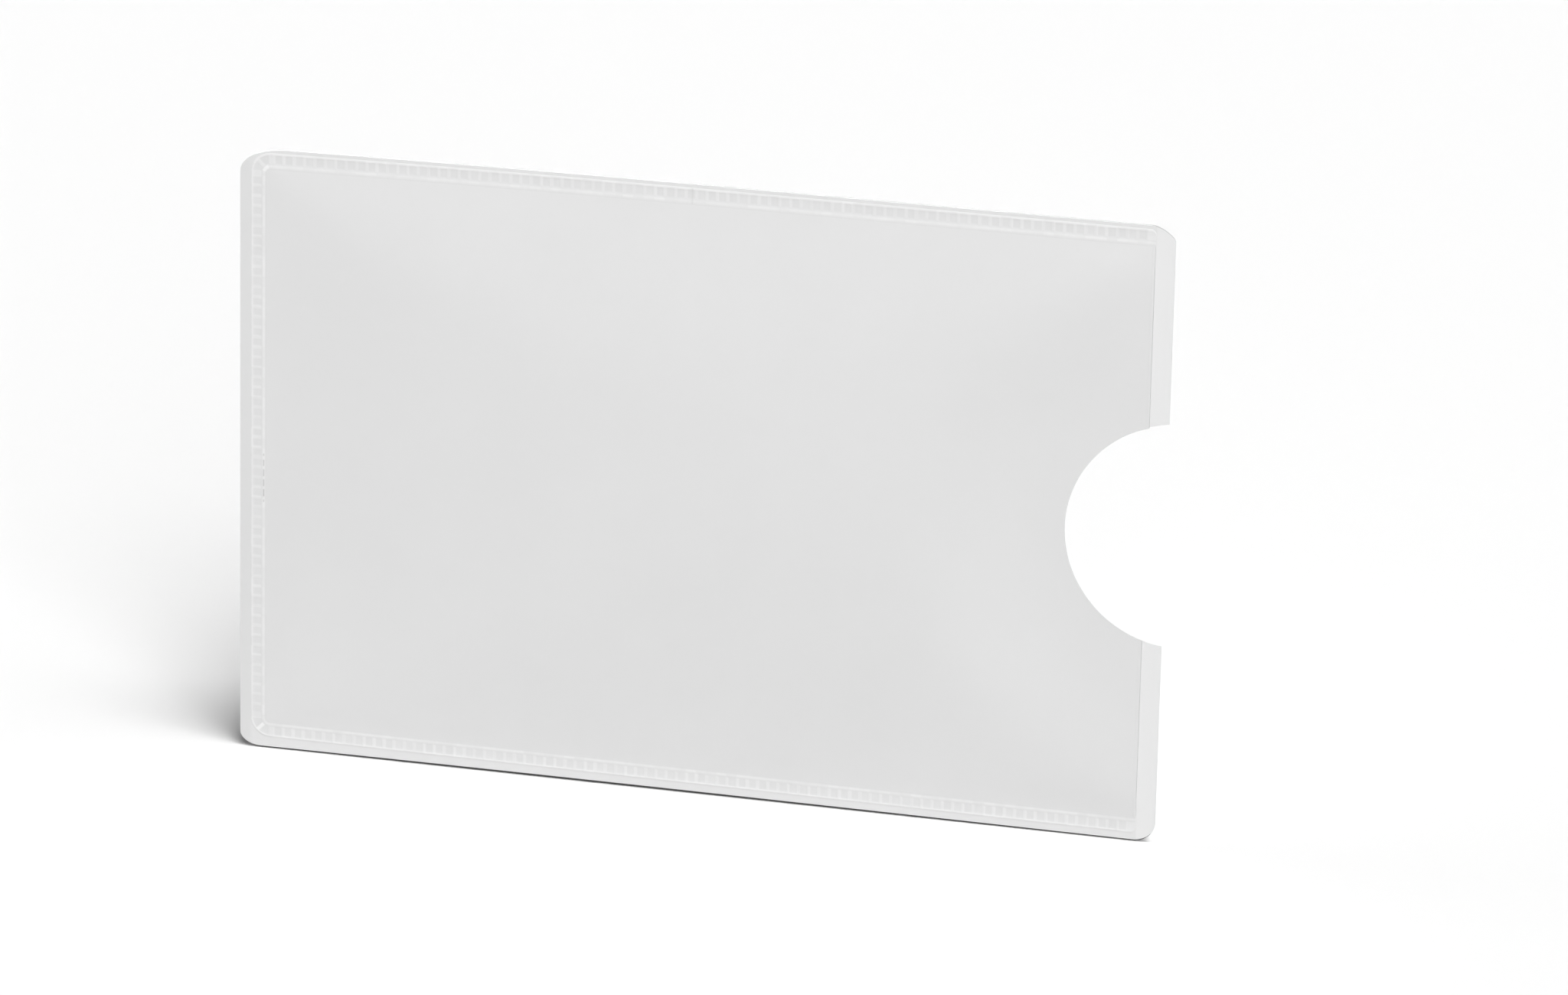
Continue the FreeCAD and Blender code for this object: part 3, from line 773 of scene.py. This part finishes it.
def run_places(run, pitch):
    """Places along a straight run of the ladder, and the places of its ribs.

    As many whole cells as fit are centred on the run. The places lie close together at the ribs.
    """
    count = math.floor(run / pitch + 1e-9)
    ribs = (run - count * pitch) / 2 + pitch * np.arange(count + 1)
    places = (ribs[:, None] + pitch * RIB_STEPS).ravel()
    ends = pitch * RIB_STEPS[RIB_STEPS >= 0.0]
    places = np.concatenate([places[(places > 0.0) & (places < run)], ends, run - ends])
    return np.unique(np.round(places, PLACE_DECIMALS)), ribs


def run_ladder(places, ribs):
    """Distance from each place to its nearest rib, nil outside the ladder, and its cell's number."""
    gap = np.abs(places[:, None] - ribs).min(1)
    outside = (places < ribs[0]) | (places > ribs[-1])
    return np.where(outside, 0.0, gap), np.searchsorted(ribs, places)


def stations(*columns):
    """Rows of a station table, from columns that may be single numbers."""
    return np.stack(np.broadcast_arrays(*columns), -1).astype(float)


def turn_places(sizes, low, high):
    """Where the pocket's wall starts to turn its corners: along the length, at the top, at the bottom."""
    reach = sizes.weld_width + sizes.shoulder_run + sizes.shoulder_wall + sizes.panel_corner
    return low.x + reach, high.z - reach, low.z + reach


def seam_path(sizes, low, high):
    """Stations round the pocket: in along the top from the mouth, down the left end, out along the bottom.

    A station has its point on the pocket's wall (x, z), its outward direction (x, z), how far the nearest
    rib is along a straight run, how many radians away it is round a corner, its cell's number, and how
    far the mouth is.
    """
    turn_x, turn_top, turn_bottom = turn_places(sizes, low, high)
    radius = sizes.panel_corner
    run = high.x - sizes.weld_end - turn_x
    places, ribs = run_places(run, sizes.cell_pitch)
    places = np.concatenate([places, run + sizes.weld_end * TIP_STEPS])
    gap, cell = run_ladder(places, ribs)
    mouth = run + sizes.weld_end - places
    bottom = stations(
        turn_x + places, turn_bottom - radius, 0.0, -1.0, gap, 0.0, cell + 4 * CELLS_APART, mouth)
    top = stations(turn_x + places, turn_top + radius, 0.0, 1.0, gap, 0.0, cell, mouth)[::-1]
    places, ribs = run_places(turn_top - turn_bottom, sizes.cell_pitch)
    gap, cell = run_ladder(places, ribs)
    left = stations(turn_x - radius, turn_top - places, -1.0, 0.0, gap, 0.0, cell + 2 * CELLS_APART, FAR)
    bend = np.linspace(0.0, math.pi / 2, TURN_STEPS)[1:-1]
    step = math.pi / 2 / sizes.corner_cells
    turn = np.abs(bend[:, None] - step * np.arange(sizes.corner_cells + 1)).min(1)
    cell = np.floor(bend / step)
    sine, cosine = np.sin(bend), np.cos(bend)
    upper = stations(
        turn_x - radius * sine, turn_top + radius * cosine, -sine, cosine, 0.0, turn, cell + CELLS_APART, FAR)
    lower = stations(
        turn_x - radius * cosine, turn_bottom - radius * sine, -cosine, -sine, 0.0, turn,
        cell + 3 * CELLS_APART, FAR)
    return np.concatenate([top, upper, left, lower, bottom])


def seam_across(sizes):
    """Places across the border, from its outer edge inwards, close together where the section bends."""
    half_slope = sizes.cell_slope / 2
    cells_end = sizes.weld_width - sizes.inner_line
    border = sizes.weld_width + sizes.shoulder_run + sizes.shoulder_wall
    return np.unique(np.round(np.concatenate([
        sizes.weld_round * (1.0 - np.cos(np.linspace(0.0, math.pi / 2, 6))),
        np.linspace(sizes.outer_line - half_slope, sizes.outer_line + half_slope, 5),
        np.linspace(sizes.outer_line + half_slope, cells_end - half_slope, 4),
        np.linspace(cells_end - half_slope, cells_end + half_slope, 5),
        np.linspace(cells_end + half_slope, sizes.weld_width, 4),
        np.linspace(sizes.weld_width, border - sizes.shoulder_wall / 2, 9),
        [border],
    ]), PLACE_DECIMALS))


def unit(value):
    """A value kept between nought and one."""
    return np.clip(value, 0.0, 1.0)


def vary(limits, chance):
    """A value between two limits, by a chance from nought to one."""
    low, high = limits
    return low + (high - low) * chance


def hump(value, middle, half_width):
    """One at the middle, falling smoothly to nought at half_width on both sides."""
    return 1.0 - smooth_step(np.abs(value - middle), 0.0, half_width)


def seam_surface(sizes, low, high):
    """The welded border: its section carried round the pocket, closed below.

    Across, the band rises round its outer edge to weld_height, carries a bead on each side of the cells,
    and climbs the shoulder to the empty panel's edge by a smooth step. Along, the cells sink between the
    ribs by smooth steps, each by its own depth. At the mouth the outer edge curves in by the half chord of
    the end radius. Gives the points and two values from nought to one: how white each is, with painted
    highlights at the corners and on top, and how pressed, with painted shade along the shoulder's top.
    """
    x, z, out_x, out_z, gap, turn, cell, mouth = seam_path(sizes, low, high).T[..., None]
    across = seam_across(sizes)
    border = across[-1]
    chance = np.random.default_rng(SEED).random((3, 5 * CELLS_APART))
    depth, shine, drift = chance[:, cell[:, 0].astype(int)][..., None]

    end = (sizes.weld_end, sizes.weld_end, FULL_ROUND)
    pull = corner_pull(mouth, 0.0, 2 * FAR, end, SQUARE)
    band = unit(1.0 - across / sizes.weld_width)
    offset = border - across - pull * band

    half_slope = sizes.cell_slope / 2
    cells_end = sizes.weld_width - sizes.inner_line
    to_rib = gap + turn * (sizes.panel_corner + border - across)
    half_rib = sizes.rib_width / 2 * vary(RIB_LIMITS, drift)
    between = smooth_step(to_rib, half_rib - half_slope, half_rib + half_slope)
    in_cells = smooth_step(across, sizes.outer_line - half_slope, sizes.outer_line + half_slope)
    in_cells = in_cells - smooth_step(across, cells_end - half_slope, cells_end + half_slope)
    hollow = between * in_cells

    outer_bead = hump(across, sizes.outer_line * OUTER_MIDDLE, sizes.outer_line * OUTER_HALF)
    inner_bead = hump(across, sizes.weld_width, sizes.inner_line * INNER_HALF)
    ends = 1.0 - smooth_step(mouth, 0.0, sizes.outer_line)
    climb = smooth_step(across, sizes.weld_width, border - sizes.shoulder_wall / 2)
    edge = unit(np.minimum(across, mouth) / sizes.weld_round)
    round_off = sizes.weld_round * (1.0 - np.sqrt(1.0 - (1.0 - edge) ** 2))

    height = sizes.weld_height + sizes.bead_height * (outer_bead + inner_bead)
    height = height + (sizes.panel_foot - sizes.weld_height) * climb
    height = height - round_off * (1.0 - climb) - sizes.cell_depth * vary(DEPTH_LIMITS, depth) * hollow
    pad = ((0, 0), (1, 1))
    points = np.stack([x + out_x * offset, high.y - height, z + out_z * offset], -1)
    points = np.pad(points, (*pad, (0, 0)), "edge")
    points[:, (0, -1), 1] = high.y
    settle(sizes, points)
    droop(sizes, points)

    ribs = (1.0 - between) * in_cells
    on_top, turning = out_z > 0.5, np.minimum(-out_x, np.abs(out_z)) > 0.3
    # Painted highlight: the upper corner's inner bead and the lower corner's ribs turn white
    painted_glint = turning * np.where(out_z > 0.0, hump(across, sizes.weld_width, PAINTED_GLINT_HALF), ribs)
    # Painted highlight: the outer bead whiter on top than on the sides and below, for light from above
    white = np.where(on_top, vary(TOP_WHITE_AND_HIGHLIGHT, shine), vary(SIDE_WHITE, shine)) * outer_bead
    white = white + vary(INNER_WHITE, drift) * inner_bead + vary(RIB_WHITE, shine) * ribs + painted_glint
    white = unit(np.maximum(white, END_WHITE * ends * band))
    # Painted shade: a dark line along the shoulder's top, beside the panel
    crest_shade = hump(across, border - sizes.shoulder_wall / 2, sizes.shoulder_wall)
    joint = hump(x, sizes.tool_joint, JOINT_HALF) * on_top * (climb < 1.0)
    # Dark dashes along the left weld's inner bead, between its ribs
    dark_dashes = (out_x == -1.0) * (z > sizes.dashes_low) * (z < sizes.dashes_high)
    dark_dashes = dark_dashes * hump(across, sizes.weld_width, DASH_HALF) * between
    pressed = vary(CELL_PRESSED, depth) * hollow + vary(DASH_PRESSED, shine) * dark_dashes
    pressed = pressed + CREST_SHADE * crest_shade + JOINT_PRESSED * joint
    return points, np.pad(white, pad), np.pad(unit(pressed), pad)


class CARDSLEEVE_OT_rear_sheet(bpy.types.Operator):
    """Build the frosted rear sheet with its rounded corners and thumb notch"""

    bl_idname = "card_sleeve.rear_sheet"
    bl_label = "Rear Sheet"

    def execute(self, context):
        sizes, colours = choices()
        material = film_finish(
            "rear_frosted_film", colours.rear_film, colours.cut_edge, colours.rear_opacity, weld_trace)
        corners = (
            (*sizes.corner_lower_left, FULL_ROUND), (*sizes.corner_upper_left, FULL_ROUND),
            (*sizes.corner_lower_mouth, FULL_ROUND), (*sizes.corner_upper_mouth, sizes.mouth_fullness))
        film_piece("rear_sheet", material, corners)
        return {"FINISHED"}


class CARDSLEEVE_OT_front_panel(bpy.types.Operator):
    """Build the frosted front panel over the card pocket"""

    bl_idname = "card_sleeve.front_panel"
    bl_label = "Front Panel"

    def execute(self, context):
        sizes, colours = choices()
        material = film_finish(
            "front_frosted_film", colours.front_film, colours.mouth_edge_shade, colours.front_opacity)
        film_piece("front_panel", material, panel_corners(sizes))
        return {"FINISHED"}


class CARDSLEEVE_OT_shields(bpy.types.Operator):
    """Build both shield foils and both slip films"""

    bl_idname = "card_sleeve.shields"
    bl_label = "Shields and Liners"

    def execute(self, context):
        sizes, colours = choices()
        finishes = {
            "shield_foil": foil_finish(colours.shield_foil),
            "liner_film": liner_finish(colours.liner_film, colours.liner_opacity),
        }
        for node in (*REAR_SHIELDS, *FRONT_SHIELDS):
            slot = next(name for name in finishes if node.endswith(name))
            film_piece(node, finishes[slot], panel_corners(sizes))
        return {"FINISHED"}


class CARDSLEEVE_OT_weld_seam(bpy.types.Operator):
    """Build the ladder weld and its shoulder on three sides of the pocket"""

    bl_idname = "card_sleeve.weld_seam"
    bl_label = "Weld Seam"

    def execute(self, context):
        sizes, colours = choices()
        points, white, pressed = seam_surface(sizes, *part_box("weld_seam"))
        rows, columns = points.shape[:2]
        faces = grid_faces(rows, columns, closed=True)[:, ::-1].tolist()
        faces += [list(range(columns)), list(range(rows * columns))[:-columns - 1:-1]]
        material = weld_finish(colours.weld, colours.whitened, colours.pressed, colours.weld_opacity)
        # The pressed value also carries that painted shade beside the panel
        values = {"whitened": white, "pressed": pressed}
        new_piece("weld_seam_ladder", points, faces, material, "weld_seam", "POINT", values)
        return {"FINISHED"}


def sun(name, strength, azimuth, elevation, spread, state, floor):
    """An even soft light, linked to the floor as its state says."""
    turn, tilt = math.radians(azimuth), math.radians(elevation)
    away = Vector((math.sin(turn) * math.cos(tilt), -math.cos(turn) * math.cos(tilt), math.sin(tilt)))
    data = bpy.data.lights.new(name, "SUN")
    data.energy = strength
    data.angle = math.radians(spread)
    lamp = new_object(name, data)
    lamp.location = away
    lamp.rotation_euler = away.to_track_quat("Z", "Y").to_euler()
    if state:
        linked = bpy.data.collections.new(f"{name}_linking")
        linked.objects.link(floor)
        linked.collection_objects[0].light_linking.link_state = state
        lamp.light_linking.receiver_collection = linked


def seen(finish):
    """One for rays that show the background itself: camera, mirror and clear ones."""
    paths = finish.add("ShaderNodeLightPath").socket.node
    rays = [Value(finish, paths.outputs[f"Is {kind} Ray"]) for kind in ("Camera", "Glossy", "Transmission")]
    return rays[0].larger(rays[1]).larger(rays[2])


class CARDSLEEVE_OT_stage(bpy.types.Operator):
    """Set up the pale floor, the soft light and the camera"""

    bl_idname = "card_sleeve.stage"
    bl_label = "Studio"

    def execute(self, context):
        stage = context.scene.card_sleeve.stage
        floor = self.lay_floor(stage)
        self.light(context.scene, stage, floor)
        self.place_camera(context.scene, stage)
        context.scene.view_settings.view_transform = "Standard"
        return {"FINISHED"}

    def lay_floor(self, stage):
        material, finish = new_finish("pale_floor")
        finish.surface({
            "Base Color": finish.blend(seen(finish), stage.floor_bounce, stage.floor),
            "Roughness": 1.0,
            "Specular IOR Level": 0.0,
        })
        level = CAD_BOX[0].z - FLOOR_GAP
        corners = [(x * FLOOR_HALF, y * FLOOR_HALF, level) for x, y in ((-1, -1), (1, -1), (1, 1), (-1, 1))]
        mesh = bpy.data.meshes.new("floor")
        mesh.from_pydata(corners, [], [(0, 1, 2, 3)])
        mesh.materials.append(material)
        floor = new_object("floor", mesh)
        return floor

    def light(self, scene, stage, floor):
        scene.world = bpy.data.worlds.new("studio")
        finish = Finish(scene.world)
        strength = stage.sky + (1.0 - stage.sky) * seen(finish)
        sky = finish.add("ShaderNodeBackground", None, {"Color": (1.0, 1.0, 1.0, 1.0), "Strength": strength})
        finish.add("ShaderNodeOutputWorld", None, {"Surface": sky})
        for name, aim in LAMPS.items():
            sun(name, getattr(stage, name), *aim, floor)

    def place_camera(self, scene, stage):
        turn, tilt, roll = stage.azimuth, stage.elevation, stage.roll
        ahead = Vector((-math.sin(turn) * math.cos(tilt), math.cos(turn) * math.cos(tilt), -math.sin(tilt)))
        level = Vector((math.cos(turn), math.sin(turn), 0.0))
        upright = level.cross(ahead)
        right = level * math.cos(roll) + upright * math.sin(roll)
        up = upright * math.cos(roll) - level * math.sin(roll)
        lens = bpy.data.cameras.new("camera")
        lens.sensor_width = SENSOR_WIDTH
        lens.sensor_fit = "HORIZONTAL"
        lens.lens = stage.focal_pixels * SENSOR_WIDTH / IMAGE_WIDTH
        lens.clip_start = 0.01
        camera = new_object("camera", lens)
        frame_axes = Matrix((right, up, -ahead)).transposed().to_4x4()
        camera.matrix_world = Matrix.Translation(Vector(stage.target) - ahead * stage.distance) @ frame_axes
        scene.camera = camera


class CARDSLEEVE_PT_panel(bpy.types.Panel):
    """Lists the sleeve's pieces and their settings"""

    bl_idname = "CARDSLEEVE_PT_panel"
    bl_label = "Card Sleeve"
    bl_space_type = "VIEW_3D"
    bl_region_type = "UI"
    bl_category = "Card Sleeve"

    def draw(self, context):
        settings = context.scene.card_sleeve
        for operator in OPERATORS:
            self.layout.operator(operator.bl_idname)
        for group in (settings.sizes, settings.colours, settings.stage):
            box = self.layout.box()
            for name in group.__annotations__:
                box.prop(group, name)


OPERATORS = (
    CARDSLEEVE_OT_rear_sheet,
    CARDSLEEVE_OT_shields,
    CARDSLEEVE_OT_front_panel,
    CARDSLEEVE_OT_weld_seam,
    CARDSLEEVE_OT_stage,
)
CLASSES = (SleeveSizes, SleeveColours, SleeveStage, SleeveSettings, *OPERATORS, CARDSLEEVE_PT_panel)


def register():
    for kind in CLASSES:
        bpy.utils.register_class(kind)
    bpy.types.Scene.card_sleeve = PointerProperty(type=SleeveSettings)


def unregister():
    del bpy.types.Scene.card_sleeve
    for kind in reversed(CLASSES):
        bpy.utils.unregister_class(kind)


def main():
    register()
    bpy.ops.card_sleeve.rear_sheet()
    bpy.ops.card_sleeve.shields()
    bpy.ops.card_sleeve.front_panel()
    bpy.ops.card_sleeve.weld_seam()
    bpy.ops.card_sleeve.stage()


if __name__ == "__main__":
    main()
